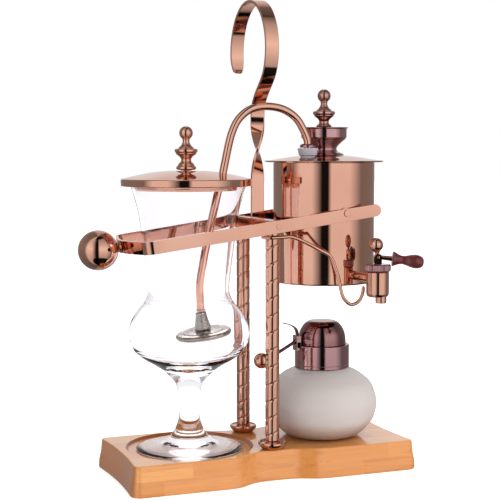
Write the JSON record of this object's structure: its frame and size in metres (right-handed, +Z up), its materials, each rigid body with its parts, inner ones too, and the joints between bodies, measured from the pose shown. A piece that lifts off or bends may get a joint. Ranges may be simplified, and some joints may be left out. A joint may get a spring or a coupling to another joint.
{
  "type": "siphon coffee maker",
  "caption": "Balance siphon coffee maker: a brewing glass and a hanging boiler on a tilting counterweighted beam, with a spirit burner and a hook over a wooden base.",
  "frame": {"origin": "centre of the base board's underside", "axes": "+Z up, +X from the brewing glass towards the boiler, -Y to the front where the tap is"},
  "size_m": [0.2983, 0.1497, 0.422],
  "materials": {
    "copper": "polished copper plate",
    "rose_metal": "polished rose plate",
    "steel": "satin",
    "wood": "gloss varnish",
    "turned_grip": "dark red stain, gloss",
    "silicone": "matt",
    "cotton": "matt",
    "clear_glass": "clear, polished",
    "frosted_glass": "frosted"
  },
  "bodies": {
    "frame": {"base_board": "wood", "column_front": "copper", "column_back": "copper", "column_foot_front": "copper", "column_foot_back": "copper", "column_screw_front": "steel", "column_screw_back": "steel", "bridge_bar": "copper", "beam_pivot_front": "copper", "beam_pivot_back": "copper", "carry_hook": "copper", "brewing_glass": "clear_glass"},
    "wire": {"steady_wire": "copper"},
    "beam": {"beam_yoke": "copper", "counterweight_ball": "copper", "ball_collar": "copper", "ball_screw": "copper"},
    "boiler": {"boiler_can": "copper", "boiler_lid": "copper", "filler_funnel": "rose_metal", "trunnion_front": "copper", "trunnion_back": "copper", "siphon_tube": "copper", "tube_stopper": "silicone", "stopper_ferrule": "rose_metal", "filter_cone": "steel", "filter_disc": "steel", "filter_cloth": "cotton", "tap_pipe": "copper", "tap_body": "copper", "tap_collar": "rose_metal", "tap_fork": "copper", "tap_pin": "copper", "tap_plunger": "steel"},
    "plug": {"filler_plug": "rose_metal"},
    "tap": {"tap_lever": "copper", "tap_grip": "turned_grip"},
    "lid": {"glass_lid": "copper", "lid_finial": "copper", "lid_nut": "copper"},
    "burner": {"burner_jar": "frosted_glass", "burner_collar": "rose_metal", "wick_tube": "steel", "wick": "cotton", "handle_rod": "rose_metal", "handle_ball": "copper", "cap_pin": "steel"},
    "snuffer": {"snuffer_cap": "rose_metal", "cap_lever": "rose_metal"}
  },
  "joints": [
    {"name": "beam_tilt", "type": "hinge", "parent": "frame", "child": "beam", "pos_m": [0, 0, 0.2231], "axis": [0, 1, 0], "range_deg": [0, 8.5]},
    {"name": "boiler_swing", "type": "hinge", "parent": "beam", "child": "boiler", "pos_m": [0.065, 0, 0.2335], "axis": [0, 1, 0], "range_deg": [-8.5, 0]},
    {"name": "plug_lift", "type": "slide", "parent": "boiler", "child": "plug", "axis": [0, 0, 1], "range_m": [0, 0.03]},
    {"name": "tap_lift", "type": "hinge", "parent": "boiler", "child": "tap", "pos_m": [0.0852, -0.07046, 0.1961], "axis": [-0.3584, -0.9336, 0], "range_deg": [0, 55]},
    {"name": "wire_swing", "type": "hinge", "parent": "frame", "child": "wire", "pos_m": [0, -0.0363, 0.2133], "axis": [0, 0, 1], "range_deg": [-60, 0]},
    {"name": "lid_lift", "type": "slide", "parent": "frame", "child": "lid", "axis": [0, 0, 1], "range_m": [0, 0.03]},
    {"name": "burner_slide", "type": "slide", "parent": "frame", "child": "burner", "axis": [0, -1, 0], "range_m": [0, 0.02]},
    {"name": "snuffer_flip", "type": "hinge", "parent": "burner", "child": "snuffer", "pos_m": [0.039, 0, 0.1175], "axis": [0, -1, 0], "range_deg": [0, 50]}
  ],
  "couplings": [
    {"joint": "boiler_swing", "follows": "beam_tilt", "ratio": -1}
  ]
}
